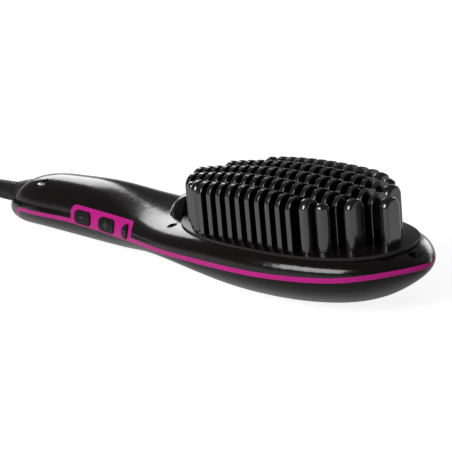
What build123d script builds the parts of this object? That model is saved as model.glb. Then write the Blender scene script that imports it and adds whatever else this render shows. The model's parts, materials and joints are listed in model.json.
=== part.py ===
from build123d import *
import os
from math import sin, cos, tan, pi, radians, degrees, atan2, sqrt

# Steam hair straightener brush, in millimetres, lying on its back with the bristles up.
# X runs along the brush from the cord end (-X) to the nose (+X), Y points away from the
# control panel, Z is up. The origin is the centre of the footprint, on the table. The brush
# is drawn level with its parting band and saved as it lies, rocked by rest_tilt until its
# tail and the bottom of its head touch the table.

os.makedirs("parts", exist_ok=True)

# ---------------------------------------------------------------- driving sizes
# Bristle field: five staggered rows of upright plates on a crowned oval pad.
field_x = 81.5            # centre of the bristle field along the brush
tooth_pitch = 5.8         # from tooth to tooth along a row
row_pitch = 11.85         # from row to row across the head
tooth_thick = 2.5
tooth_width = 11.2
tooth_round = 0.3         # edge rounding of a tooth
end_tooth_thick = 4.6     # the last teeth of the rows are stout rounded ones
end_tooth_width = 9.4
end_tooth_in = 0.955      # share of the outer rows' distance from the middle
pin_dia = 6.0             # round pins at the four corners of the field
pin_x = 37.6
pin_y = 21.0
pin_lower = 1.2           # the pins end this far below the crown of the tips
ROW_COUNTS = (12, 17, 20, 17, 12)
tip_top = 51.75           # height of the tallest tip above the table
tip_crown_x = 296.0       # crown radius of the tips along the brush
tip_crown_y = 194.0       # crown radius of the tips across it
pad_top = 29.35           # top of the pad at its centre
pad_crown_x = 755.0
pad_crown_y = 194.0
pad_half_len = 60.5       # the pad's oval outline
pad_half_wid = 33.3
pad_shift = 2.0           # the oval's centre lies this far towards the nose
pad_square = 0.64         # squareness of the oval's corners, 0.55 would be an ellipse
pad_skin = 2.2
pad_skirt = 2.0
pad_seat = 21.5           # height of the ledge that carries the pad
ledge_thick = 1.5
ledge_reach = 5.0
well_wall = 1.8

# Casing
wall = 2.2
trim_thick = 2.2          # height of the coloured parting band
trim_deep = 2.6           # how far the band reaches in from the surface
hook_x = -105.0           # where the band turns down at the cord end
hook_radius = 6.5
lens_radius = 14.4        # ball-shaped display window between the neck and the pad
lens_x = 22.0
lens_z = 20.6             # height of the ball's middle
lens_thick = 1.6
lens_sunk = 1.3           # how deep its edge sits in the shell
rest_tilt = 1.03          # degrees
rest_drop = 0.15          # flattens the two places that touch the table
rest_shift = 0.39         # keeps the footprint centred when the brush is rocked

# Clearances
seam = 0.25               # between pad and casing
button_gap = 0.2
running = 0.15            # radial, at the cord swivel
slip = 0.2                # blades in their slots and pockets

# Control panel on the -Y side
panel_x0 = -52.5
panel_x1 = 4.0
panel_low = 13.65
panel_high = 23.2
panel_round = 4.0
panel_lean = 4.0          # the panel's end at the head slants by this much
panel_tilt = 12.0         # degrees that the panel leans back
button_proud = 0.7
button_travel = 0.6
key_long = 13.2           # minus and plus keys
key_high = 6.6
key_round = 2.5
key_level = 17.8          # height of the keys' centre line
minus_x = -41.9
plus_x = -21.0
power_x = -3.9
power_wide = 5.0
power_high = 7.0

# Cord outlet
axis_z = 16.45            # height of the swivel's axis
bell_r = 8.3
boot_r = 5.3
boot_tip_r = 4.5
boot_start = -122.5
boot_end = -155.5
rib_pitch = 2.05
rib_groove = 0.85
rib_deep = 0.75
journal_r = 6.0
journal_in = -97.0
bell_in = -104.7
flange_r = 8.6
flange_thick = 2.0
cord_dia = 6.4

# Electronics behind the keys
board_depth = 9.5         # from the panel's face back to the key board
board_thick = 1.6
key_board_long = 57.0
STAKES = (-27.0, -8.0, 13.4)     # the board's stakes, from the panel's middle
stake_r = 1.2
flange_depth = 3.8        # from the panel's face back to a key's retaining flange
key_flange = 1.0
key_rim = 0.8             # how far the flange reaches past the key
stem_r = 1.1
stem_end = 8.0
switch_face = 6.0
switch_side = 6.2

# Main board and what stands on it
main_x0 = -78.0
main_x1 = -8.0
main_wide = 22.0
main_z = 8.4

# Screws that hold the casing: x, y, recess radius
SCREWS = [(148.3, 0, 2.6), (27.0, 21.5, 2.4), (27.0, -21.5, 2.4), (-84.5, 8, 2.2), (-84.5, -8, 2.2)]
screw_sunk = 2.0          # depth of the recess at the screw
screw_head = 1.3
screw_shank_r = 1.2
boss_wall = 1.4

# Heating
heat_thick = 2.5          # aluminium plate under the pad
blade_thick = 1.0
blade_short = 4.7         # a tooth's tip stands this far above its metal blade
blade_wide = 6.4
spike_r = 1.2             # round metal spike inside a corner pin
bar_x0 = 41.5             # the two ceramic heating bars
bar_x1 = 121.5
bar_y = 12.0
bar_wide = 14.0
bar_thick = 4.0
clamp_thick = 1.0
shield_z = 14.9
shield_thick = 1.5

# Water and steam
tank_x0 = 52.0
tank_x1 = 110.0
tank_half = 27.0
tank_top = 13.6
tank_wall = 1.4
tank_gap = 0.4
steam_x = 129.0
steam_bore = 0.8
door_x = 75.0
door_t = 0.4              # place of the filler door round the lower corner curve
door_r = 5.5
door_thick = 1.4
door_gap = 0.6
hinge_out = 6.9
hinge_deep = 2.1          # the hinge's axis lies this far under the door's face
knuckle_r = 1.1
knuckle_long = 5.0
hinge_pin_r = 0.5

# Mains lead, its coil and plug
coil_x = -222.0
coil_y = -36.0
coil_mid_r = 35.5
coil_wide = 19.2
coil_high = 13.3
tie_thick = 0.9
tie_turn = 16.0           # degrees of the coil that the tie covers
plug_x = -171.0
plug_y = -68.0
plug_z = 7.0
plug_long = 24.0
plug_wide = 22.0
plug_high = 14.0
plug_round = 3.0
plug_neck = 12.0
prong_long = 16.0
prong_gap = 12.7


# ---------------------------------------------------------------- casing shape
# Each station: x, half width, top, widest level, bottom, squareness of the upper corner.
# The casing ends in two tiny rings of the same kind, TAIL and NOSE.
STATIONS = [
    (-116.5, 8.5, 16.3, 11.0, 3.0, 0.56),
    (-108.5, 12.5, 23.3, 13.2, 2.0, 0.56),
    (-96.5, 15.3, 28.4, 14.2, 2.2, 0.56),
    (-68.5, 17.2, 31.4, 14.6, 1.9, 0.57),
    (-38.5, 19.4, 31.5, 14.7, 1.6, 0.58),
    (-13.5, 22.6, 28.2, 15.0, 2.3, 0.62),
    (6.5, 27.0, 25.8, 15.5, 4.2, 0.68),
    (31.5, 33.0, 26.2, 16.5, 4.0, 0.76),
    (61.5, 36.8, 27.8, 17.1, -0.4, 0.84),
    (91.5, 37.6, 28.2, 17.4, -1.6, 0.86),
    (116.5, 33.6, 27.6, 17.9, 0.1, 0.84),
    (133.5, 26.8, 26.6, 18.7, 4.3, 0.80),
    (145.5, 16.6, 24.7, 19.8, 10.9, 0.72),
    (152.2, 8.0, 22.7, 20.6, 16.1, 0.64),
]
# Centre line of the coloured band between the two halves of the casing: x, z.
BAND = [
    (-96.5, 13.6), (-60, 14.6), (-20, 14.8), (6, 15.1), (31.5, 16.0), (61.5, 17.0),
    (91.5, 17.4), (116.5, 17.8), (136.5, 18.7), (150, 20.2), (165, 21.6),
]
TAIL = (-121.9, 1.2, 9.6, 8.5, 7.4, 0.56)
NOSE = (155.4, 1.6, 21.9, 21.1, 20.3, 0.6)
under_square = 0.50       # squareness of the lower corners


def section(x, half, top, mid, low, square):
    # Closed outline in the plane across the brush at x, made of four quarter curves.
    def corner(y, z, k):
        return [(x, y, mid), (x, y, mid + k * (z - mid)), (x, k * y, z), (x, 0, z)]
    quarters = [
        Bezier(*corner(half, top, square)),
        Bezier(*reversed(corner(-half, top, square))),
        Bezier(*corner(-half, low, under_square)),
        Bezier(*reversed(corner(half, low, under_square))),
    ]
    return Face(Wire(quarters))


def casing(inset=0.0):
    # The whole outer form, or the same form with every side moved inwards by inset. The
    # inner forms leave out the last small ring before the nose.
    middle = (TAIL[0] + NOSE[0]) / 2
    shrink = 1 - inset / (NOSE[0] - middle)
    rings = [
        section(middle + (x - middle) * shrink, half - inset, top - inset, mid, low + inset, k)
        for x, half, top, mid, low, k in (STATIONS[:-1] if inset else STATIONS)
    ]
    tail = section(TAIL[0] + inset, *TAIL[1:])
    nose = section(NOSE[0] - inset, *NOSE[1:])
    return loft([tail, *rings, nose])


def half_width_at(x):
    # Half width of the casing between two stations.
    for a, b in zip(STATIONS, STATIONS[1:]):
        if a[0] <= x <= b[0]:
            return a[1] + (b[1] - a[1]) * (x - a[0]) / (b[0] - a[0])


def block(x0, x1, y0, y1, z0, z1):
    return Pos((x0 + x1) / 2, (y0 + y1) / 2, (z0 + z1) / 2) * Box(x1 - x0, y1 - y0, z1 - z0)


def post(x, y, z0, z1, radius):
    return Pos(x, y, (z0 + z1) / 2) * Cylinder(radius, z1 - z0)


def oval(grow, z0, z1):
    # Upright prism of the pad's oval outline, grown outwards by grow.
    a = pad_half_len + grow
    b = pad_half_wid + grow
    k = pad_square
    quarters = [
        Bezier((i * a, 0), (i * a, j * k * b), (i * k * a, j * b), (0, j * b))
        for i in (1, -1) for j in (1, -1)
    ]
    return extrude(Pos(field_x + pad_shift, 0, z0) * make_face(quarters), z1 - z0)


def crowned(top, x, y, crown_x, crown_y):
    # Height over (x, y) of a surface crowned both ways about the field's centre.
    return top - (x - field_x) ** 2 / (2 * crown_x) - y ** 2 / (2 * crown_y)


def dome(drop):
    # Everything under the pad's crowned surface lowered by drop.
    grid = [
        [Vector(x, y, crowned(pad_top - drop, x, y, pad_crown_x, pad_crown_y))
         for y in range(-45, 46, 15)]
        for x in range(12, 157, 24)
    ]
    return extrude(Face.make_surface_from_array_of_points(grid), 40, dir=(0, 0, -1))


def under_band(shift):
    # Everything below the parting band's centre line, moved outwards by shift. The line
    # runs level along the handle, rises to the nose and turns down at the cord end.
    points = [(x, z + shift) for x, z in BAND]
    corner = (hook_x - shift, points[0][1])
    line = Spline(*points, tangents=[(1, 0), (1, 0.1)])
    rest = Polyline(points[-1], (points[-1][0], -20), (corner[0], -20), corner, points[0])
    face = make_face([line, rest])
    turn = face.vertices().sort_by_distance((corner[0], corner[1], 0))[0]
    return extrude(Plane.XZ * fillet(turn, hook_radius + shift), 60, both=True)


def band_z(x):
    # Height of the parting band's centre line.
    for a, b in zip(BAND, BAND[1:]):
        if a[0] <= x <= b[0]:
            return a[1] + (b[1] - a[1]) * (x - a[0]) / (b[0] - a[0])


def turned(profile):
    # Solid of revolution about the swivel's axis, from (x, radius) points.
    face = make_face(Polyline(*profile, (profile[-1][0], 0), (profile[0][0], 0), close=True))
    return Pos(0, 0, axis_z) * revolve(Plane.XZ * face, Axis.X)


lay = Pos(rest_shift, 0, -rest_drop) * Rot(0, -rest_tilt, 0)


def laid(x, y, z):
    # Where a point of the brush is once it lies on the table.
    spot = (lay * Pos(x, y, z)).position
    return (spot.X, spot.Y, spot.Z)


def save(solid, name, place=lay):
    solids = [place * s for s in solid.solids()]
    export_step(Compound(children=solids) if len(solids) > 1 else solids[0], f"parts/{name}.step")


# ---------------------------------------------------------------- casing
outer = casing()
within = casing(wall / 2)          # what grows out of the wall ends inside it
inner = casing(wall)
under_table = lay.inverse() * block(-200, 200, -60, 60, -5, 0)
tail_stop = block(journal_in, 200, -60, 60, -20, 60)
cavity = inner & tail_stop
band_low = under_band(-trim_thick / 2)
band_high = under_band(trim_thick / 2)

# Control panel: a plane on the near wall, leaning back and following the wall in plan.
panel_x = (panel_x0 + panel_x1) / 2
panel_yaw = degrees(
    atan2(half_width_at(panel_x1) - half_width_at(panel_x0), panel_x1 - panel_x0)
)
press = Vector(
    -sin(radians(panel_yaw)) * cos(radians(panel_tilt)),
    -cos(radians(panel_yaw)) * cos(radians(panel_tilt)),
    sin(radians(panel_tilt)),
)
along = Vector(cos(radians(panel_yaw)), -sin(radians(panel_yaw)), 0)
panel = Plane((panel_x, -half_width_at(panel_x), key_level), x_dir=along, z_dir=press)
print("press direction", [round(v, 4) for v in press])


def on_panel(x, z):
    # Place on the panel plane of a point given along the brush and by its height.
    u = (x - panel_x) / cos(radians(panel_yaw))
    v = (z - key_level) / cos(radians(panel_tilt))
    return Pos(u, v)


def panel_prism(sketch, low, high):
    return extrude(panel * (Pos(0, 0, low) * sketch), high - low)


panel_corners = [
    on_panel(x, z).position for x, z in (
        (panel_x0, panel_low), (panel_x1, panel_low),
        (panel_x1 - panel_lean, panel_high), (panel_x0, panel_high))
]
bezel_shape = make_face(Polyline(*panel_corners, close=True))
bezel_shape = fillet(bezel_shape.vertices(), panel_round)
bezel_zone = panel_prism(bezel_shape, -6, 6)


def key_shape(x, grow):
    # Outline of the key at x: two long keys and a lens-shaped power key.
    if x == power_x:
        return on_panel(x, key_level) * Ellipse(power_wide / 2 + grow, power_high / 2 + grow)
    size = (key_long + 2 * grow, key_high + 2 * grow)
    return on_panel(x, key_level) * RectangleRounded(*size, key_round + grow)


KEYS = {"button_minus": minus_x, "button_plus": plus_x, "button_power": power_x}
ring = outer - casing(trim_deep)
band = ring & (band_high - band_low)
bezel = ring & bezel_zone
key_holes = [panel_prism(key_shape(x, button_gap), -8, 8) for x in KEYS.values()]
flange_rooms = [
    panel_prism(key_shape(x, key_rim + button_gap), -9, 0.05 - flange_depth) for x in KEYS.values()
]
stakes = [panel_prism(Pos(u, 0) * Circle(stake_r), -board_depth, -trim_deep / 2) for u in STAKES]
trim_zone = (band + bezel).solids().sort_by(SortBy.VOLUME)[-1]


# Screws and their posts: a recessed post under the upper shell stands on one in the lower.
def roof_z(x, y):
    # Height of the casing's outer surface over a point.
    probe = Pos(x, y, 30) * Cylinder(0.05, 60) & outer
    return probe.bounding_box().max.Z


upper_posts = []
lower_posts = []
screw_cuts = []
screws = []
for x, y, recess in SCREWS:
    seat = roof_z(x, y) - screw_sunk
    joint_z = band_z(x + recess + boss_wall) + trim_thick / 2
    upper_posts.append(post(x, y, joint_z, seat + 1, recess + boss_wall))
    lower_posts.append(post(x, y, -2, joint_z, screw_shank_r + boss_wall))
    screw_cuts.append(post(x, y, seat, 40, recess))
    screw_cuts.append(post(x, y, joint_z - 7, seat, screw_shank_r + 0.1))
    head = post(x, y, seat, seat + screw_head, recess - 0.25)
    cross = [Box(2.6, 0.6, 1.2), Box(0.6, 2.6, 1.2)]
    head = head - [Pos(x, y, seat + screw_head) * b for b in cross]
    screws.append(head + post(x, y, joint_z - 6, seat, screw_shank_r))
save(Compound(children=screws), "case_screws")
nose_room = post(SCREWS[0][0], 0, -2, 40, SCREWS[0][2] + boss_wall)
trim = trim_zone - key_holes - flange_rooms + stakes - nose_room - under_table
print("trim solids", [round(v.volume, 1) for v in trim.solids()])
save(trim, "trim_band")

# Cord swivel: a bell that fills the casing's open tail, a journal through the tail wall,
# a flange behind it and a stub that carries the two slip rings.
BELL = [(-122.5, 5.2), (-118.0, 6.2), (-113.0, 7.5), (-109.0, bell_r), (-105.0, bell_r)]
socket = turned([(-135, BELL[0][1] + 0.6)] + [(x, r + 0.3) for x, r in BELL] + [(bell_in, bell_r + 0.3)])
journal_hole = turned([(bell_in - 1, journal_r + running), (journal_in + 1, journal_r + running)])
stub_x = -86.0
flange_x = journal_in + 0.3
collar = turned(
    BELL
    + [(-105.0, journal_r), (flange_x, journal_r), (flange_x, flange_r)]
    + [(flange_x + flange_thick, flange_r), (flange_x + flange_thick, 3.2), (stub_x, 3.2)]
)
ribs = [
    turned([(x, 3), (x, 12), (x + rib_groove, 12), (x + rib_groove, 3)])
    & (turned([(a - 0.01, 12) for a in (-122.6, -108)]))
    for x in (-121.4, -119.35, -117.3, -115.25)
]
shallow = turned([(x, r - rib_deep) for x, r in BELL])
collar = collar - [rib - shallow for rib in ribs]
save(collar, "swivel_collar")
RING_X = (-93.2, -89.6)
rings = [turned([(x, 3.9), (x + 2, 3.9)]) - turned([(x - 1, 3.2), (x + 3, 3.2)]) for x in RING_X]
save(Compound(children=rings), "slip_rings")

# Ribbed boot on the cord: slots above and below, joined by a web along each side.
def boot_radius(x):
    return boot_r + (boot_tip_r - boot_r) * (boot_start - x) / (boot_start - boot_end)


notched = [(boot_start, boot_r)]
rib_x = boot_start - 1.4
while rib_x - rib_groove > boot_end + 1.2:
    back = rib_x - rib_groove
    notched += [
        (rib_x, boot_radius(rib_x)),
        (rib_x, boot_radius(rib_x) - rib_deep),
        (back, boot_radius(back) - rib_deep),
        (back, boot_radius(back)),
    ]
    rib_x -= rib_pitch
notched.append((boot_end, boot_tip_r))
smooth = turned([(boot_start, boot_r), (boot_end, boot_tip_r)])
webs = smooth & block(boot_end, boot_start, -10, 10, axis_z - 0.9, axis_z + 0.9)
save(turned(notched) + webs, "cord_boot")

# Display window: a hollow quarter of a ball that faces the hand, its flat back at the pad.
room_behind = oval(seam + well_wall + 1, 10, 50)
window = post(lens_x, 0, 15, 45, lens_radius - 3) - room_behind
lens = Pos(lens_x, 0, lens_z) * Sphere(lens_radius) - oval(seam + 1.2, 0, 50)
lens = lens - Pos(0, 0, -lens_sunk) * outer
lens = lens - (Pos(lens_x, 0, lens_z) * Sphere(lens_radius - lens_thick) - room_behind)
lens = lens.solids().sort_by(SortBy.VOLUME)[-1]
save(lens, "display_lens")
print("lens solid", round(lens.volume, 1))

# Upper shell
pad_well = oval(seam + well_wall, pad_seat - ledge_thick, 40) & within
upper = (outer - cavity) + pad_well + upper_posts
upper = upper - band_high - oval(seam, pad_seat, 50) - oval(-ledge_reach, 0, 50)
upper = upper - lens - (window & block(0, 40, -20, 20, 20, 32))
upper = upper - screw_cuts - socket - journal_hole - bezel_zone - under_table
print("upper shell solids", [round(v.volume, 1) for v in upper.solids()])
upper = upper.solids().sort_by(SortBy.VOLUME)[-1]
save(upper, "upper_shell")

# Filler door on the far side of the lower shell, hinged at its upper edge.
def lower_corner(x, t):
    # Point on the lower corner curve of the casing and the outward direction there.
    for a, b in zip(STATIONS, STATIONS[1:]):
        if a[0] <= x <= b[0]:
            part = (x - a[0]) / (b[0] - a[0])
            half, mid, low = [a[i] + (b[i] - a[i]) * part for i in (1, 3, 4)]
    k = under_square
    one = 1 - t
    flat = one ** 3 + 3 * one ** 2 * t + 3 * one * t ** 2 * k
    steep = 3 * one ** 2 * t * k + 3 * one * t ** 2 + t ** 3
    slope_y = half * (-6 * one * t + k * (6 * one * t - 3 * t ** 2))
    slope_z = (mid - low) * (k * (3 * one ** 2 - 6 * one * t) + 6 * one * t)
    place = Vector(x, half * flat, mid - (mid - low) * steep)
    out = Vector(0, slope_z, slope_y).normalized()
    return place, out


door_at, door_out = lower_corner(door_x, door_t)
door_plane = Plane(door_at, x_dir=(1, 0, 0), z_dir=door_out)
up_side = 1 if door_plane.y_dir.Z > 0 else -1


def on_door(radius, low, high, u=0, v=0):
    # Round peg square to the door, from depth low to depth high (outwards positive).
    return door_plane * (Pos(u, v, (low + high) / 2) * Cylinder(radius, high - low))


def along_hinge(radius, length):
    bar = Rot(0, 90, 0) * Cylinder(radius, length)
    return door_plane * (Pos(0, up_side * hinge_out, -hinge_deep) * bar)


deeper = Pos(*(-door_thick * door_out)) * outer
lid = (on_door(door_r, -6, 4) & outer) - deeper
tab_at = Pos(0, up_side * (hinge_out - 1.2), 0.2 - hinge_deep)
tab = door_plane * (tab_at * Box(knuckle_long, 2.4, 0.9))
stopper = on_door(3.2, -door_thick - 3.5, -door_thick / 2)
lid = lid + tab + along_hinge(knuckle_r, knuckle_long) + stopper - along_hinge(hinge_pin_r + 0.1, 20)
save(lid, "filler_door")
save(along_hinge(hinge_pin_r, knuckle_long + 4), "hinge_pin")
hinge_slot = door_plane * (
    Pos(0, up_side * (hinge_out - 0.5), 1 - hinge_deep / 2)
    * Box(knuckle_long + 1, 2 * knuckle_r + 2.2, hinge_deep + 2.8)
)
door_cuts = [
    on_door(door_r + door_gap, -6, 4) - Pos(*(-(door_thick + 0.1) * door_out)) * outer,
    along_hinge(knuckle_r + 0.6, knuckle_long + 1),
    hinge_slot,
    along_hinge(hinge_pin_r, knuckle_long + 4),
    on_door(3.7, -8, 2),
]
print("door", [round(v, 3) for v in laid(*door_at)], [round(v, 4) for v in door_out])
hinge_at = door_plane.from_local_coords((0, up_side * hinge_out, -hinge_deep))
print("hinge", [round(v, 3) for v in laid(*hinge_at)])
print("swivel", [round(v, 3) for v in laid(0, 0, axis_z)])

# Water tank: follows the lower shell's inside; its neck meets the filler door's bore.
tank_outer = casing(wall + tank_gap)
tank = tank_outer & block(tank_x0, tank_x1, -tank_half, tank_half, -2, tank_top)
room = casing(wall + tank_gap + tank_wall) & block(
    tank_x0 + tank_wall, tank_x1 - tank_wall,
    tank_wall - tank_half, tank_half - tank_wall,
    -2, tank_top - tank_wall,
)
neck = on_door(4.9, -12, -wall - tank_gap) & block(tank_x0, tank_x1, 0, 60, -2, tank_top)
outlet = Pos(tank_x1, 0, 9) * (Rot(0, 90, 0) * Cylinder(1.2, 6))
tank = (tank + (neck & tank_outer)) - room - on_door(3.7, -14, 2) - outlet
save(tank, "water_tank")

# Steam chamber in front of the tank, its riser and the duct under the heater.
chamber = block(tank_x1, steam_x + 4, -8, 8, 6, 13)
chamber = (chamber & tank_outer) - block(tank_x1 + 1.2, steam_x + 2.8, -6.8, 6.8, 7.2, 11.8) - outlet
riser_low = 13
duct_z = pad_seat - 2.5
riser = post(steam_x, 0, riser_low, duct_z, 2.2)
riser = riser - post(steam_x, 0, riser_low - 1, duct_z + 1, steam_bore)
chamber = chamber - post(steam_x, 0, 10, 14, steam_bore)
save(chamber, "steam_chamber")
save(riser, "steam_riser")
VENTS = [field_x + k * tooth_pitch for k in (-6, -3, 0, 3, 6)]
duct = block(VENTS[0] - 3, steam_x + 3, -2.6, 2.6, duct_z, pad_seat)
duct = duct - block(VENTS[0] - 1.8, steam_x + 1.8, -1.4, 1.4, duct_z + 0.8, pad_seat - 0.8)
duct = duct - [post(x, 0, pad_seat - 2, pad_seat + 1, steam_bore) for x in VENTS]
duct = duct - post(steam_x, 0, duct_z - 1, duct_z + 1, steam_bore)
save(duct, "steam_duct")

# Lower shell, with posts for the screws, the main board and the heat shield.
BOARD_POSTS = [(x, y) for x in (main_x0 + 5, main_x1 - 5) for y in (-8, 8)]
SHIELD_POSTS = [(x, y) for x in (43.0, 119.0) for y in (-20, 20)]
lower_posts += [post(x, y, -2, main_z, 2) for x, y in BOARD_POSTS]
lower_posts += [post(x, y, -2, shield_z, 2.2) for x, y in SHIELD_POSTS]
lower = ((outer - cavity) & band_low) + (Compound(children=lower_posts) & within)
lower = lower - socket - journal_hole - bezel_zone - door_cuts - screw_cuts
lower = lower - under_table
print("lower shell solids", [round(v.volume, 1) for v in lower.solids()])
lower = lower.solids().sort_by(SortBy.VOLUME)[-1]
save(lower, "lower_shell")

# ---------------------------------------------------------------- bristle field
def tooth_form(thick, width, rounding):
    # Upright plate with a round-arched top that ends at the origin, its foot far below.
    half = width / 2
    arch = ThreePointArc((-half, -half), (0, 0), (half, -half))
    sides = Polyline((half, -half), (half, -40), (-half, -40), (-half, -half))
    slab = extrude(Plane.YZ * make_face([arch, sides]), thick / 2, both=True)
    rim = [
        e for e in slab.edges()
        if abs(abs(e.center().X) - thick / 2) < 0.01 and e.center().Z > -39
    ]
    return fillet(rim, rounding)


def stand(form, x, y, tip):
    # Stands a form on the pad: its top at tip, its foot cut square to the pad's surface.
    lean = Vector((x - field_x) / pad_crown_x, y / pad_crown_y, 1).normalized()
    ground = Plane((x, y, crowned(pad_top, x, y, pad_crown_x, pad_crown_y)), z_dir=lean)
    return Pos(x, y, tip) * form - ground * (Pos(0, 0, -25) * Box(40, 40, 50))


def upright(shape, x, y, low, high):
    # The shape, drawn about the origin, moved to (x, y) and drawn up from low to high.
    return extrude(Pos(x, y, low) * shape, high - low)


slim_form = tooth_form(tooth_thick, tooth_width, tooth_round)
stout_form = tooth_form(end_tooth_thick, end_tooth_width, 1.7)
plate_top = pad_seat + heat_thick
blades = []
holes = [Pos(x, 0) * Circle(steam_bore) for x in VENTS]
for row, count in enumerate(ROW_COUNTS):
    caps = []
    for column in range(count):
        outer_row = count == min(ROW_COUNTS)
        stout = column == count - 1 or (outer_row and column == 0)
        x = field_x + (column - (count - 1) / 2) * tooth_pitch
        y = (row - 2) * row_pitch * (end_tooth_in if stout and outer_row else 1)
        tip = crowned(tip_top, x, y, tip_crown_x, tip_crown_y)
        wide = blade_wide - (1.6 if stout else 0)
        slot = Rectangle(blade_thick + 2 * slip, wide + 2 * slip)
        holes.append(Pos(x, y) * slot)
        blades.append(upright(Rectangle(blade_thick, wide), x, y, plate_top, tip - blade_short))
        caps.append(
            stand(stout_form if stout else slim_form, x, y, tip)
            - upright(slot, x, y, plate_top, tip - blade_short + slip)
        )
    save(Compound(children=caps), f"bristle_row_{row + 1}")

pin_form = Pos(0, 0, -20) * Cylinder(pin_dia / 2, 40)
pin_form = fillet(pin_form.edges().group_by(Axis.Z)[-1], pin_dia * 0.42)
pins = []
for x in (field_x - pin_x, field_x + pin_x):
    for y in (-pin_y, pin_y):
        tip = crowned(tip_top, x, y, tip_crown_x, tip_crown_y) - pin_lower
        blades.append(post(x, y, plate_top, tip - blade_short, spike_r))
        holes.append(Pos(x, y) * Circle(spike_r + slip))
        pocket = upright(Circle(spike_r + slip), x, y, plate_top, tip - blade_short + slip)
        pins.append(stand(pin_form, x, y, tip) - pocket)
save(Compound(children=pins), "corner_pins")

pad = (oval(0, pad_seat, 40) & dome(0)) - (oval(-pad_skirt, pad_seat - 1, 40) & dome(pad_skin))
pad = pad - extrude(Pos(0, 0, pad_seat - 1) * (Sketch() + holes), 20)
save(pad, "bristle_pad")
print("pad solids", [round(v.volume) for v in pad.solids()])

# ---------------------------------------------------------------- heating
vents = [post(x, 0, 10, 40, steam_bore) for x in VENTS]
plate = oval(-pad_skirt - seam, pad_seat, plate_top) - vents + blades
save(plate, "heater_plate")
print("plate solids", [round(v.volume) for v in plate.solids()])
bars = [
    block(bar_x0, bar_x1, y - bar_wide / 2, y + bar_wide / 2, pad_seat - bar_thick, pad_seat)
    for y in (-bar_y, bar_y)
]
save(Compound(children=bars), "ceramic_heaters")
clamp_top = pad_seat - bar_thick
clamp_x0 = bar_x0 - 5
clamp_x1 = bar_x1 + 2.5
clamp = block(clamp_x0, clamp_x1, -24, 24, clamp_top - clamp_thick, clamp_top)
clamp = fillet(clamp.edges().filter_by(Axis.Z), 9)
clamp = clamp + [post(x, y, clamp_top, pad_seat, 1.8) for x in (52, 111) for y in (-21.5, 21.5)]
save(clamp, "heater_clamp")
fuse = Pos(70, 21.5, pad_seat - 2) * (Rot(0, 90, 0) * Cylinder(2, 12))
save(fuse, "thermal_fuse")
save(block(93, 98, 20, 23, pad_seat - 2.4, pad_seat), "thermistor")
shield = block(clamp_x0, clamp_x1, -25, 25, shield_z, shield_z + shield_thick)
save(fillet(shield.edges().filter_by(Axis.Z), 10), "heat_shield")

# ---------------------------------------------------------------- keys
for name, x in KEYS.items():
    cap = panel_prism(key_shape(x, 0), -flange_depth, 4) & (Pos(*(button_proud * press)) * outer)
    rim = panel_prism(key_shape(x, key_rim), -flange_depth - key_flange, -flange_depth)
    stem = panel_prism(on_panel(x, key_level) * Circle(stem_r), -stem_end, -flange_depth)
    save(cap + rim + stem, name)

switches = []
for x in KEYS.values():
    place = on_panel(x, key_level)
    case = panel_prism(place * Rectangle(switch_side, switch_side), -board_depth, -switch_face)
    well = panel_prism(place * Circle(stem_r + 0.15), -stem_end - button_travel - 0.3, 0)
    switches.append(case - well)
save(Compound(children=switches), "key_switches")
key_board = panel_prism(Rectangle(key_board_long, 8.4), -board_depth - board_thick, -board_depth)
save(key_board, "key_board")

# ---------------------------------------------------------------- electronics
main_top = main_z + board_thick
main_board = block(main_x0, main_x1, -main_wide / 2, main_wide / 2, main_z, main_top)
save(main_board, "main_board")
save(block(-46, -32, -5, 7, main_top, main_top + 11), "relay")
drums = [post(x, y, main_top, main_top + 10, 4) for x, y in ((-68, 4), (-59, 4))]
save(Compound(children=drums), "capacitors")
save(block(-26, -16, 2, 6.5, main_top, main_top + 9), "triac")
save(block(-56, -49, -5, 1, main_top, main_top + 6), "line_filter")
save(block(-27, -18, -8, -1, main_top, main_top + 1.2), "controller_chip")
socket_x = -9.5
save(block(socket_x - 5, socket_x, -6, 6, main_top, main_top + 6), "lead_socket")

display_low = 19.2
display_board = block(9.2, 19.2, -13, 13, display_low, display_low + 1.2)
save(display_board, "display_board")
save(block(9.8, 18.4, -9, 9, display_low + 1.2, display_low + 3.4), "display_glass")


def run(points, radius, bend):
    # Round lead along straight runs joined by arcs of one radius.
    path = FilletPolyline(*points, radius=bend)
    start = Plane(path @ 0, z_dir=path % 0)
    return sweep(start * Circle(radius), path=path)


heater_leads = []
for side in (-1, 1):
    heater_leads.append(run([
        (socket_x, side * 4, main_top + 3), (6, side * 4, main_top + 3),
        (26, side * 11, 18.8), (bar_x0, side * 11, 18.8)], 0.9, 6))
save(Compound(children=heater_leads), "heater_leads")
display_lead = run([
    (socket_x, 0, main_top + 3), (2, 0, main_top + 3), (8, 0, display_low - 3),
    (14, 0, display_low - 3), (14, 0, display_low)], 0.8, 1.8)
save(display_lead, "display_lead")

# Contacts that rub on the slip rings, and their holder.
holder_top = axis_z - 3.9 - 0.65
holder = block(RING_X[0] - 1.2, RING_X[1] + 3.2, -4, 4, -2, holder_top) & inner
save(holder, "contact_holder")
leaves = [block(x + 0.3, x + 1.7, -2.5, 2.5, holder_top, axis_z - 3.9 - 0.05) for x in RING_X]
save(Compound(children=leaves), "slip_contacts")
holder_end = RING_X[1] + 3.2
supply = [
    run([
        (holder_end, y, 6.5), (holder_end + 3, y, 6.5),
        (holder_end + 3, y, main_z + 0.8), (main_x0, y, main_z + 0.8)], 0.8, 1.1)
    for y in (-2.2, 2.2)
]
save(Compound(children=supply), "supply_leads")

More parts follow.
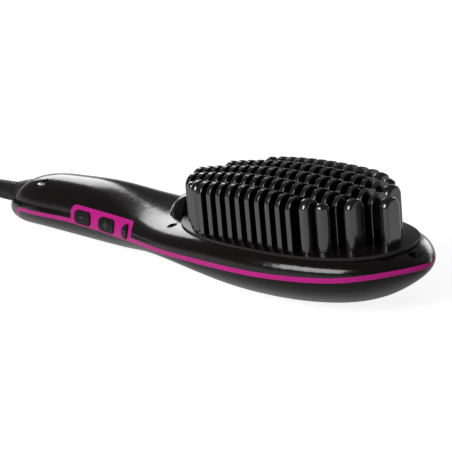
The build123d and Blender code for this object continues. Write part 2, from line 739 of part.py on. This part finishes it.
# ---------------------------------------------------------------- mains lead
def lead(points):
    # Mains lead through its points; each bend is as large as its two runs allow.
    radii = []
    for a, b, c in zip(points, points[1:], points[2:]):
        before = Vector(*b) - Vector(*a)
        after = Vector(*c) - Vector(*b)
        turn = radians(before.get_angle(after))
        radii.append(0.45 * min(before.length, after.length) / tan(turn / 2))
    path = FilletPolyline(*points, radius=radii)
    tube = sweep(Plane(path @ 0, z_dir=path % 0) * Circle(cord_dia / 2), path=path)
    print("lead", round(path.length, 1), "radii", [round(r) for r in radii])
    ideal = pi * cord_dia ** 2 / 4 * path.length
    print("tube volume over section times length", round(tube.volume / ideal, 4))
    return tube


on_table = Pos(0, 0, 0)
coil_low = tie_thick
coil_lead_z = coil_low + cord_dia / 2
RUN = [
    laid(boot_end, 0, axis_z), laid(-168.5, 0, axis_z), (-180.0, 0.2, 12.1),
    (-191.5, 0.4, 8.6), (-205, -0.1, 5.2), (coil_x, coil_y + coil_mid_r, coil_lead_z),
]
REST = [
    (coil_x, coil_y - coil_mid_r, coil_lead_z), (-206, -73.0, coil_lead_z), (-188, -70.6, 5.4),
    (plug_x, plug_y, plug_z),
]
run_tube = lead(RUN)
rest_tube = lead(REST)
coil_face = Pos(coil_mid_r, coil_low + coil_high / 2) * RectangleRounded(coil_wide, coil_high, 3)
coil = Pos(coil_x, coil_y, 0) * revolve(Plane.XZ * coil_face, Axis.Z)
save(coil, "cord_coil", on_table)
save(run_tube, "cord_run", on_table)
tie_wide = coil_wide + 2 * tie_thick
tie_high = coil_high + 2 * tie_thick
tie_face = RectangleRounded(tie_wide, tie_high, 3.5) - RectangleRounded(coil_wide, coil_high, 3)
tie = revolve(Plane.XZ * (Pos(coil_mid_r, coil_low + coil_high / 2) * tie_face), Axis.Z, tie_turn)
save(Pos(coil_x, coil_y, 0) * (Rot(0, 0, -tie_turn / 2) * tie), "cord_tie", on_table)

plug_front = plug_x + plug_neck + plug_long
body = Box(plug_long, plug_wide, plug_high)
body = Pos(plug_front - plug_long / 2, plug_y, plug_z) * fillet(body.edges(), plug_round)
neck_long = plug_neck + plug_round        # the neck runs in past the body's rounded edge
neck_cone = Pos(plug_x + neck_long / 2, plug_y, plug_z) * (Rot(0, 90, 0) * Cone(4.0, 6.2, neck_long))
plug = body + neck_cone
save(plug, "plug_body", on_table)
save(rest_tube, "cord_end", on_table)
prongs = [
    block(plug_front, plug_front + prong_long, y - 0.75, y + 0.75, plug_z - 3.15, plug_z + 3.15)
    for y in (plug_y - prong_gap / 2, plug_y + prong_gap / 2)
]
save(Compound(children=prongs), "plug_prongs", on_table)
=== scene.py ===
# %% [markdown]
# # A heated straightening brush
#
# The brush lies on its back with its bristles up. Its solids come packed from the CAD
# model, in metres, and this lesson dresses them: a camera, the marks on the keys, the
# mains lead, plastics, rubber and metals, and a plain studio.

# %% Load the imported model
import bpy
import json
from math import cos, pi, sin
from mathutils import Matrix, Vector


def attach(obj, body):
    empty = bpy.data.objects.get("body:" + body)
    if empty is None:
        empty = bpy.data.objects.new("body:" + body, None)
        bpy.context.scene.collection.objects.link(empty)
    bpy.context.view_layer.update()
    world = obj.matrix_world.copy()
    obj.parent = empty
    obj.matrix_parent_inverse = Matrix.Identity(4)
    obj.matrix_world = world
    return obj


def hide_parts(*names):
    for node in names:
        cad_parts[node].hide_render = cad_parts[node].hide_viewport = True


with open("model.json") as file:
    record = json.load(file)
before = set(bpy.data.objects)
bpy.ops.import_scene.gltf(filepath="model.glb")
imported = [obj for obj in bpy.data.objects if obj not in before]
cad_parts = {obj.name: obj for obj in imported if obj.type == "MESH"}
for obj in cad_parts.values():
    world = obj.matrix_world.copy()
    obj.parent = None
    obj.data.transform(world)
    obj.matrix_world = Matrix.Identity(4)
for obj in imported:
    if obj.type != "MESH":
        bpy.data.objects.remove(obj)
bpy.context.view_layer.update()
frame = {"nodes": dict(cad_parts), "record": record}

solids = frame["nodes"]

# %% [markdown]
# ## The camera
#
# A long lens from a little above the table, looking across the brush from its nose. A
# Track To constraint could aim the camera, but it would always keep the horizon level.
# The three directions below are the camera's right, up and back, and make its rotation
# whole, with the camera's own small lean.

# %% Camera
viewpoint = Vector((0.494426, -0.425369, 0.208171))
right = Vector((0.697515, 0.712444, -0.076786))
up = Vector((-0.154840, 0.254480, 0.954602))
back = Vector((0.699641, -0.653959, 0.287819))
lens = bpy.data.cameras.new("studio_camera")
lens.lens = 113.94
lens.sensor_width = 36
lens.clip_start = 0.01
viewer = bpy.data.objects.new("studio_camera", lens)
bpy.context.collection.objects.link(viewer)
turn = Matrix((right, up, back)).transposed().to_4x4()
viewer.matrix_world = Matrix.Translation(viewpoint) @ turn
bpy.context.scene.camera = viewer
print("camera", tuple(round(c, 3) for c in viewer.location), "lens", lens.lens)

# %% [markdown]
# ## Marks on the keys
#
# The two long keys carry a minus and a plus, the small one a ring with a stroke. On the
# real brush such marks are moulded a tenth of a millimetre proud. A texture could draw
# them, but relief catches the light at its edges. Each mark is modelled lying flat at
# the origin and is then laid on the face of its key, which leans with the side of the
# casing: the key's own faces say where that face is and which way it looks.

# %% Where a mark goes
press = Vector((0.14211, 0.9683, -0.20538))         # the way a key is pressed
brush_long = Vector((0.99984, 0, 0.01798))          # from the cord end to the nose
facing = 0.95                                       # how squarely a face looks outwards
cap_depth = 0.0008                                  # how far the curved cap falls away
probe = 0.02                                        # where the ray to the cap starts, outside


def cap_place(name):
    """Place of a flat mark on a key: x along the brush, z straight out of the key's face."""
    key = solids[name]
    front = [face for face in key.data.polygons if face.normal.dot(press) < -facing]
    outmost = min(face.center.dot(press) for face in front)
    cap = [face for face in front if face.center.dot(press) < outmost + cap_depth]
    area = sum(face.area for face in cap)
    middle = sum((face.center * face.area for face in cap), Vector()) / area
    out = sum((face.normal * face.area for face in cap), Vector()).normalized()
    found, spot = key.ray_cast(middle - press * probe, press)[:2]
    along = (brush_long - out * brush_long.dot(out)).normalized()
    print(name, "middle", tuple(round(c, 4) for c in spot), "found", found)
    return Matrix.Translation(spot) @ Matrix((along, out.cross(along), out)).transposed().to_4x4()


# %% [markdown]
# The minus, the plus and the stroke are bars. Two short cylinders and a cube could make
# one, but a cube alone gets the same round ends by a bevel of its four upright edges. An
# operator acts on all that is selected, so everything is let go of first, and the edges
# are then chosen by how far they rise.

# %% A flat bar
mark_wide = 0.0008
mark_proud = 0.00012
mark_deep = 0.0005                                  # whole thickness, most of it in the key
end_share = 0.48                                    # radius of a bar's ends over its width


def clear_choice(kind):
    """Leave nothing selected in the active mesh, and choose edges or faces from now on."""
    bpy.ops.object.mode_set(mode="EDIT")
    bpy.ops.mesh.select_mode(type=kind)
    bpy.ops.mesh.select_all(action="DESELECT")
    bpy.ops.object.mode_set(mode="OBJECT")


def bar(length, wide=mark_wide, middle=(0, 0)):
    """A flat bar with round ends."""
    bpy.ops.object.select_all(action="DESELECT")
    bpy.ops.mesh.primitive_cube_add(size=1, location=(*middle, mark_proud - mark_deep / 2))
    piece = bpy.context.object
    piece.scale = (length, wide, mark_deep)
    bpy.ops.object.transform_apply(location=True, rotation=True, scale=True)
    clear_choice("EDGE")
    mesh = piece.data
    for edge in mesh.edges:
        first, second = (mesh.vertices[k].co for k in edge.vertices)
        edge.select = abs(first.z - second.z) > mark_deep / 2
    bpy.ops.object.mode_set(mode="EDIT")
    bpy.ops.mesh.bevel(offset=min(length, wide) * end_share, segments=6, affect="EDGES")
    bpy.ops.object.mode_set(mode="OBJECT")
    print("bar", length, "by", wide, "faces", len(mesh.polygons))
    return piece


# %% [markdown]
# The ring of the power mark is open at the top. A spin could sweep it, but a torus is
# there at once: it is flattened, loses the faces of its gap, and has both ends filled so
# that it is a closed solid again.

# %% A broken ring
tube_share = 0.42                                   # radius of the tube over a mark's width
ring_flat = 0.6                                     # the ring's height over its width


def broken_ring(radius, half_gap):
    """A flat ring with a gap at the top, its two ends closed."""
    bpy.ops.object.select_all(action="DESELECT")
    bpy.ops.mesh.primitive_torus_add(
        major_radius=radius, minor_radius=mark_wide * tube_share,
        major_segments=48, minor_segments=10)
    piece = bpy.context.object
    piece.scale = (1, 1, ring_flat)
    bpy.ops.object.transform_apply(location=True, rotation=True, scale=True)
    clear_choice("FACE")
    for face in piece.data.polygons:
        face.select = face.center.y > radius * cos(half_gap)
    bpy.ops.object.mode_set(mode="EDIT")
    bpy.ops.mesh.delete(type="FACE")
    bpy.ops.mesh.select_all(action="SELECT")
    bpy.ops.mesh.fill_holes(sides=12)
    bpy.ops.mesh.normals_make_consistent(inside=False)
    bpy.ops.object.mode_set(mode="OBJECT")
    print("ring radius", radius, "faces", len(piece.data.polygons))
    return piece


# %% [markdown]
# The bars of the plus cross, so a Boolean makes one closed solid of them. Each mark rides
# on its key's body, and so goes in with the key when it is pressed.

# %% Lay the marks on the keys
def lay_mark(name, pieces, key, body):
    """Join the pieces of a mark into one, lay it on its key and let it ride there."""
    mark = pieces[0]
    for other in pieces[1:]:
        union = mark.modifiers.new("union", "BOOLEAN")
        union.operation = "UNION"
        union.object = other
        bpy.context.view_layer.objects.active = mark
        bpy.ops.object.modifier_apply(modifier="union")
        bpy.data.objects.remove(other)
    bpy.ops.object.select_all(action="DESELECT")
    mark.select_set(True)
    bpy.context.view_layer.objects.active = mark
    mark.name = name
    mark.matrix_world = cap_place(key)
    bpy.ops.object.transform_apply(location=True, rotation=True, scale=True)
    bpy.ops.object.shade_smooth_by_angle(angle=0.6)
    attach(mark, body)
    return mark


sign_long = 0.0040
ring_radius = 0.00125
ring_gap = 0.6                                      # half the ring's gap, in radians
stroke_wide, stroke_long, stroke_up = 0.0007, 0.0015, 0.0010
marks = [
    lay_mark("mark_minus", [bar(sign_long)], "button_minus", "key_minus"),
    lay_mark("mark_plus", [bar(sign_long), bar(mark_wide, sign_long)], "button_plus", "key_plus"),
    lay_mark("mark_power",
             [broken_ring(ring_radius, ring_gap), bar(stroke_wide, stroke_long, (0, stroke_up))],
             "button_power", "key_power")]
print("marks", [(mark.name, len(mark.data.polygons)) for mark in marks])

# %% [markdown]
# ## The mains lead
#
# A round rubber lead, 6.4 mm thick. It leaves the ribbed boot level, comes down to the
# table, is wound into a neat coil of two layers and ends in the plug. Straight runs and
# arcs could draw it, but rubber never bends so abruptly. A NURBS curve of order 3 runs
# smoothly past its control points, so one such spline is the whole lead. The first layer
# of the coil is wound inwards, the second outwards on top of it, and the steps from turn
# to turn lie beside each other, as on a hand-wound coil.

# %% Turns of the coil
lead_r = 0.0032
coil_centre = Vector((-0.222, -0.036, 0))
turn_radii = [0.0419, 0.0355, 0.0291, 0.0291, 0.0355, 0.0419, 0.0419]
turn_heights = [0.0041, 0.0041, 0.0041, 0.0110, 0.0110, 0.0110, 0.0110]
last_turn = len(turn_radii) - 1
laps = 6.5                      # turns in the whole coil
steps = 12                      # control points in one turn
step_share = 0.2                # the part of a turn in which the lead steps to the next
pull_in = cos(pi / steps)       # the curve runs this much inside its control points


def coil_point(k):
    """Control point number k of the coil: level turns with a short step between them."""
    lap, part = divmod(k / steps, 1)
    lap = int(lap)
    after = min(lap + 1, last_turn)
    ease = max(0.0, (part - (1 - step_share)) / step_share) if lap < last_turn else 0.0
    radius = turn_radii[lap] + (turn_radii[after] - turn_radii[lap]) * ease
    height = turn_heights[lap] + (turn_heights[after] - turn_heights[lap]) * ease
    angle = pi / 2 + 2 * pi * k / steps
    out = Vector((cos(angle), sin(angle), 0)) * (radius / pull_in)
    return coil_centre + out + Vector((0, 0, height))


# %% [markdown]
# Five points bring the lead out of the boot and down to the table, and three lead from
# the top of the coil to the plug beside it. Only few are needed, because the curve itself
# makes the bends between them.

# %% Route of the lead
route = [Vector(p) for p in (
    (-0.15538, 0, 0.013502), (-0.16838, 0, 0.013268), (-0.180, 0.0002, 0.0121),
    (-0.1915, 0.0014, 0.0086), (-0.205, 0.0044, 0.0052))]
route += [coil_point(k) for k in range(int(laps * steps) + 1)]
route += [Vector(p) for p in (
    (-0.206, -0.0785, 0.0100), (-0.190, -0.0700, 0.0076), (-0.171, -0.068, 0.0070))]
print("lead route", len(route), "points")

# %% [markdown]
# The curve's bevel makes the round rubber around the line. Its depth could be the lead's
# radius, but then every point would still claim a reach of one metre, and boxes measured
# around the lead would too. So the points carry the radius and the depth is one.

# %% The lead as one spline
lead_line = bpy.data.curves.new("mains_lead", "CURVE")
lead_line.dimensions = "3D"
strand = lead_line.splines.new("NURBS")
strand.points.add(len(route) - 1)
for point, place in zip(strand.points, route):
    point.co = (*place, 1)
    point.radius = lead_r
strand.order_u = 3
strand.use_endpoint_u = True
strand.resolution_u = 6
lead_line.bevel_depth = 1.0
lead_line.bevel_resolution = 5
lead_line.use_fill_caps = True
mains_lead = bpy.data.objects.new("mains_lead", lead_line)
bpy.context.collection.objects.link(mains_lead)
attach(mains_lead, "brush")
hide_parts("cord_run", "cord_coil", "cord_end")
print("lead length", round(strand.calc_length(), 4))

# %% [markdown]
# ## A bench for materials
#
# Every finish is a Principled shader with its colour, roughness and bump made from noise
# in the piece's own metres. Nodes could be linked one at a time, but a sum written as a
# sum is easier to read, so `Wire` lets a socket take part in sums as a number does.

# %% Wires
class Wire:
    """An output of a node that takes part in sums and products as a number does."""

    def __init__(self, bench, socket):
        self.bench = bench
        self.socket = socket

    def join(self, operation, first, second):
        return self.bench.node("ShaderNodeMath", {"operation": operation}, {0: first, 1: second})

    def __add__(self, other):
        return self.join("ADD", self, other)

    def __mul__(self, other):
        return self.join("MULTIPLY", self, other)

    __radd__ = __add__
    __rmul__ = __mul__


# %% [markdown]
# `Bench` adds any other node to a material: its kind, its settings, and a value or a wire
# for each of its sockets. The nodes that most finishes need have a name of their own.

# %% Benches
class Bench:
    """The node tree of one finish."""

    def __init__(self, tree):
        self.tree = tree

    def node(self, kind, settings=None, inputs=None, output=0):
        """A new node: its settings first, then a value or a wire for each socket."""
        made = self.tree.nodes.new(kind)
        for key, value in (settings or {}).items():
            setattr(made, key, value)
        for key, value in (inputs or {}).items():
            self.feed(made.inputs[key], value)
        return Wire(self, made.outputs[output])

    def feed(self, socket, value):
        if isinstance(value, Wire):
            self.tree.links.new(value.socket, socket)
        else:
            socket.default_value = value

    def noise(self, place, size, detail=2.0):
        """Noise whose lumps are about size metres across."""
        return self.node(
            "ShaderNodeTexNoise", {}, {"Vector": place, "Scale": 1 / size, "Detail": detail})

    def place(self, stretch=(1, 1, 1)):
        """The piece's own coordinates in metres, stretched along an axis where asked."""
        own = self.node("ShaderNodeTexCoord", output="Object")
        if stretch == (1, 1, 1):
            return own
        return self.node("ShaderNodeMapping", {}, {"Vector": own, "Scale": stretch})

    def mix(self, factor, first, second):
        """One colour fading into another."""
        return self.node(
            "ShaderNodeMix", {"data_type": "RGBA"}, {0: factor, 6: (*first, 1), 7: (*second, 1)}, 2)


# %% [markdown]
# ## What a finish is made of
#
# Moulded and cast surfaces differ in a few things only: the colour and how mottled it is,
# the gloss and how uneven it is, and the grain that stands in relief. One function makes
# them all. `grain` is the size of the grain's lumps and `depth` its height, in metres;
# `spread` and `vary` say how far colour and gloss wander, over patches of size `patch`.

# %% One finish
finishes = {}


def finish(name, colour, roughness, grain=0.0004, depth=0.00002, spread=0.15, vary=0.04,
           stretch=(1, 1, 1), patch=0.012, **fixed):
    """A moulded or cast finish: mottled colour, uneven gloss and a fine grain in relief."""
    material = bpy.data.materials.new(name)
    material.use_nodes = True
    bench = Bench(material.node_tree)
    skin = material.node_tree.nodes["Principled BSDF"]
    place = bench.place(stretch)
    broad = bench.noise(place, patch)
    fine = bench.noise(place, grain, 3.0)
    dark = [c * (1 - spread) for c in colour]
    light = [min(1.0, c * (1 + spread)) for c in colour]
    bench.feed(skin.inputs["Base Color"], bench.mix(broad, dark, light))
    bench.feed(skin.inputs["Roughness"], broad * (2 * vary) + (roughness - vary))
    relief = bench.node("ShaderNodeBump", {}, {"Height": fine, "Strength": 1.0, "Distance": depth})
    bench.feed(skin.inputs["Normal"], relief)
    for socket, value in fixed.items():
        skin.inputs[socket.replace("_", " ")].default_value = value
    finishes[name] = material
    print("finish", name, "roughness", roughness)


# %% [markdown]
# ## The casing
#
# The upper shell is polished black plastic, a little brown where light grazes it, with
# the faintest ripple that moulding leaves. The lower shell is satin with a spark-eroded
# grain. The band is a magenta plastic between satin and gloss. A coat layer could make
# the upper shell glossier, but its gloss comes from the mould itself, so one layer does.

# %% Casing finishes
finish("gloss_black_shell", (0.0034, 0.0018, 0.0017), 0.17, 0.0006, 0.0000003, vary=0.015)
finish("satin_black_shell", (0.0040, 0.0022, 0.0021), 0.27, 0.0005, 0.000003, vary=0.03,
       Specular_IOR_Level=0.25)
finish("magenta_trim", (0.52, 0.008, 0.235), 0.40, 0.0004, 0.000004, spread=0.05,
       Specular_IOR_Level=0.35)
finish("smoked_window", (0.002, 0.002, 0.002), 0.05, 0.004, 0.000001, vary=0.01)
finish("screw_black", (0.03, 0.03, 0.03), 0.35, 0.0003, 0.000003, Metallic=1.0)
finish("key_black", (0.0045, 0.0032, 0.0032), 0.40, 0.0004, 0.000008, Specular_IOR_Level=0.25)
finish("mark_grey", (0.045, 0.040, 0.040), 0.45, 0.0003, 0.000004)

# %% [markdown]
# ## The bristles
#
# Heat-proof nylon, with faint lines along the draw of the mould: the noise is stretched
# along z for them. The tips are polished, so that they glide through hair. A clear coat
# gives their round edges thin bright lines, while the nylon under it stays softer. The
# pad they stand in is the same nylon, left as it comes from the mould.

# %% Bristle finishes
finish("bristle_black", (0.0016, 0.0009, 0.0009), 0.22, 0.0010, 0.000002, vary=0.03,
       stretch=(1, 1, 0.12), Specular_IOR_Level=0.9, Coat_Weight=1.0, Coat_Roughness=0.06)
finish("pad_black", (0.0030, 0.0018, 0.0017), 0.30, 0.0006, 0.000002, Specular_IOR_Level=0.4)

# %% [markdown]
# ## The lead, its outlet and its plug
#
# Rubbery plastics, duller than the casing. They could share one finish, but each comes
# from a mould of its own, and they differ a little in gloss and grain. The strap that
# ties the coil is woven, so its noise is squeezed along z into fine threads. The pins of
# the plug are brass.

# %% Lead finishes
finish("swivel_black", (0.012, 0.0115, 0.0115), 0.45, 0.0004, 0.000012)
finish("cord_black", (0.013, 0.013, 0.0135), 0.52, 0.0006, 0.000020)
finish("tie_black", (0.015, 0.015, 0.015), 0.6, 0.0008, 0.000040, stretch=(1, 1, 4))
finish("plug_black", (0.014, 0.014, 0.014), 0.4, 0.0005, 0.000015)
finish("brass", (0.78, 0.53, 0.22), 0.25, 0.0006, 0.000004, Metallic=1.0)

# %% [markdown]
# ## Inside the casing
#
# Little in here shows while the brush is whole, and one grey could do for all of it. But
# each piece can be taken out, so each looks like what it is made of: a metal heater plate
# with ceramic bars and a mica shield, a green board with its black and white components,
# a milky water tank and a silicone riser.

# %% Inner finishes
finish("aluminium_plate", (0.62, 0.63, 0.64), 0.36, 0.0008, 0.00001, Metallic=1.0)
finish("steel", (0.45, 0.45, 0.46), 0.28, 0.0005, 0.000005, Metallic=1.0, stretch=(1, 1, 6))
finish("ceramic_white", (0.72, 0.70, 0.65), 0.5, 0.0004, 0.00001, spread=0.04)
finish("mica_shield", (0.42, 0.32, 0.19), 0.4, 0.0010, 0.00002, spread=0.2)
finish("board_green", (0.012, 0.11, 0.035), 0.3, 0.0006, 0.00001)
finish("component_black", (0.012, 0.012, 0.012), 0.45, 0.0004, 0.00001)
finish("socket_white", (0.66, 0.64, 0.58), 0.4, 0.0005, 0.00001, spread=0.04)
finish("display_glass", (0.01, 0.014, 0.014), 0.06, 0.004, 0.000001)
finish("lead_red", (0.30, 0.012, 0.012), 0.5, 0.0005, 0.00001)
finish("tank_clear", (0.55, 0.62, 0.66), 0.2, 0.003, 0.000004, Alpha=0.45)
finish("riser_silicone", (0.5, 0.5, 0.48), 0.5, 0.0005, 0.00001)

# %% [markdown]
# ## Dressing the solids
#
# The record names a finish for each solid, so one loop dresses them all. Two solids then
# take one of their own: the pad, which lacks the bristles' polish, and the casing's
# screws, which are blackened. The lead and the marks were made here, and get theirs last.

# %% Hand out the finishes
for row in frame["record"]["subparts"]:
    solid = solids[row["node"]]
    for slot in solid.material_slots:
        slot.material = finishes[row["material_slot"]]
solids["bristle_pad"].material_slots[0].material = finishes["pad_black"]
solids["case_screws"].material_slots[0].material = finishes["screw_black"]
mains_lead.data.materials.append(finishes["cord_black"])
for mark in marks:
    mark.data.materials.append(finishes["mark_grey"])
print("finishes", len(finishes))

# %% [markdown]
# ## The table
#
# A plain plane is enough here, because it is the stage and no piece of the brush. It is
# so wide that its edge lies far behind everything.

# %% The table's top
bpy.ops.object.select_all(action="DESELECT")
bpy.ops.mesh.primitive_plane_add(size=6, location=(0, 0, 0))
table = bpy.context.object
table.name = "table"
print("table", tuple(round(side, 1) for side in table.dimensions))

# %% [markdown]
# The table is pale and turns white with distance, where it meets the backdrop. Brighter
# lamps could bleach it, but they would bleach the brush as well. Instead, the table glows
# for the camera alone, and a little for what mirrors it. It keeps the brush's shadow,
# because its own dull grey is still lit by the lamps.

# %% The table's glow
mirror_share = 0.35                     # how much of the glow a glossy surface sees
glow_near, glow_far = 0.88, 1.0         # glow under the brush, and far from it
near_edge, far_edge = 0.35, 0.8         # the distances between which it rises

pale = bpy.data.materials.new("pale_table")
pale.use_nodes = True
bench = Bench(pale.node_tree)
matt = pale.node_tree.nodes["Principled BSDF"]
matt.inputs["Base Color"].default_value = (0.5, 0.5, 0.5, 1)
matt.inputs["Roughness"].default_value = 0.9
matt.inputs["Specular IOR Level"].default_value = 0.0
grey = Wire(bench, matt.outputs[0])
seen = bench.node("ShaderNodeLightPath", output="Is Camera Ray")
mirrored = bench.node("ShaderNodeLightPath", output="Is Glossy Ray")
reach = bench.node("ShaderNodeVectorMath", {"operation": "LENGTH"}, {0: bench.place()}, 1)
glow = bench.node(
    "ShaderNodeMapRange", {}, {0: reach, 1: near_edge, 2: far_edge, 3: glow_near, 4: glow_far})
lit = bench.node("ShaderNodeEmission", {}, {"Strength": glow})
plus = bench.node("ShaderNodeAddShader", {}, {0: lit, 1: grey})
both = bench.node(
    "ShaderNodeMixShader", {}, {0: seen + mirrored * mirror_share, 1: grey, 2: plus})
bench.feed(pale.node_tree.nodes["Material Output"].inputs[0], both)
table.data.materials.append(pale)
print("glow", glow_near, "to", glow_far, "between", near_edge, "and", far_edge, "m")

# %% [markdown]
# ## The lamps
#
# Black gloss shows hardly anything but its lamps. A bright sky all round would turn it
# grey, so there are three soft lamps, each where a highlight wants it. The back lamp lies
# mirrored in the top of the handle and in the neck, the side lamp along the rim of the
# nose. The front lamp is the broadest: it lights the coloured band and draws the bright
# line along the side of the head.

# %% Lamps
def soft_lamp(name, place, aim, width, height, level):
    """A rectangular soft lamp whose face has the given level of brightness."""
    lamp = bpy.data.lights.new(name, "AREA")
    lamp.shape = "RECTANGLE"
    lamp.size = width
    lamp.size_y = height
    lamp.energy = level * pi * width * height
    stand = bpy.data.objects.new(name, lamp)
    bpy.context.collection.objects.link(stand)
    stand.location = place
    stand.rotation_euler = (Vector(aim) - Vector(place)).to_track_quat("-Z", "Y").to_euler()
    print(name, "power", round(lamp.energy, 2))


soft_lamp("back_lamp", (-0.96, 0.52, 0.46), (0.03, 0, 0.02), 0.36, 0.52, 3.8)
soft_lamp("side_lamp", (-0.31, 1.11, 0.30), (0.14, 0, 0.02), 0.22, 0.34, 3.5)
soft_lamp("front_lamp", (0.02, -0.80, 0.52), (0.05, 0, 0.02), 0.75, 0.42, 8.0)

# %% [markdown]
# ## The backdrop
#
# The backdrop is white only to what looks at it: to the camera and to glass wholly, to
# glossy surfaces in a low band that fades out above the table's edge. The room above is
# dim, as in a studio with its lights off, which keeps the black gloss black.

# %% Backdrop
band_top = 0.16                         # height of the white band, as a share of the way up
band_white = 0.6
room_level = 0.1

world = bpy.data.worlds.new("studio")
bpy.context.scene.world = world
world.use_nodes = True
bench = Bench(world.node_tree)
camera_ray, glossy_ray, through_ray = (
    bench.node("ShaderNodeLightPath", output=name)
    for name in ("Is Camera Ray", "Is Glossy Ray", "Is Transmission Ray"))
direction = bench.node("ShaderNodeTexCoord", output="Generated")
height = bench.node("ShaderNodeSeparateXYZ", {}, {0: direction}, 2)
low = bench.node(
    "ShaderNodeMapRange", {}, {0: height, 1: 0.0, 2: band_top, 3: band_white, 4: 0.0})
shown = camera_ray + through_ray + glossy_ray * low
room = bench.node("ShaderNodeBackground", {}, {"Color": (1, 1, 1, 1), "Strength": room_level})
white = bench.node("ShaderNodeBackground", {}, {"Color": (1, 1, 1, 1), "Strength": 1.0})
backdrop = bench.node("ShaderNodeMixShader", {}, {0: shown, 1: room, 2: white})
bench.feed(world.node_tree.nodes["World Output"].inputs[0], backdrop)
bpy.context.scene.view_settings.view_transform = "Standard"
print("room", room_level, "band up to", band_top)

# %% [markdown]
# ## Sizes
#
# The dressed brush stays in the box of its solids, apart from a millimetre or two at the
# coil. Last, the scene is brought up to date, so that the boxes of the pieces made here are
# current.

# %% Bring the scene up to date
bpy.context.view_layer.update()
